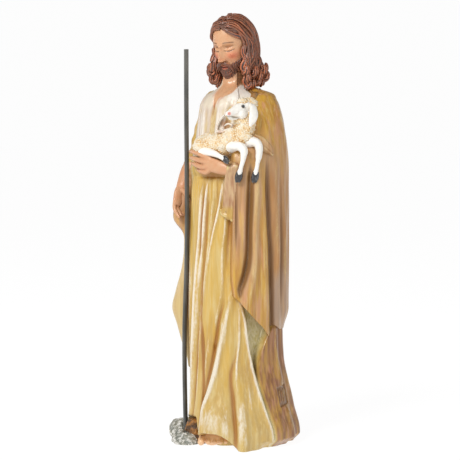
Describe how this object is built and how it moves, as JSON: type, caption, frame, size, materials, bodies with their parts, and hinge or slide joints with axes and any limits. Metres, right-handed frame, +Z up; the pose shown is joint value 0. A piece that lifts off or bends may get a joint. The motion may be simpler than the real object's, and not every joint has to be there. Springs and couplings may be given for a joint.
{
  "type": "good shepherd statue",
  "caption": "Standing robed shepherd figure, cast and painted, holding a lamb on one arm and a slim straight metal staff in the other hand, on a flat underside.",
  "frame": {"origin": "on the standing plane, under the figure's upright axis", "axes": "+Z up the figure, -Y the way its chest faces, +X toward its own left side, where the lamb lies"},
  "size_m": [0.0782, 0.0706, 0.2587],
  "materials": {
    "painted_resin": "cast resin, hand painted in ochre and cream washes under a satin varnish",
    "dark_metal": "straight metal rod, dark grey, satin"
  },
  "bodies": {
    "root": {"figure": "painted_resin", "staff": "dark_metal"}
  },
  "joints": []
}
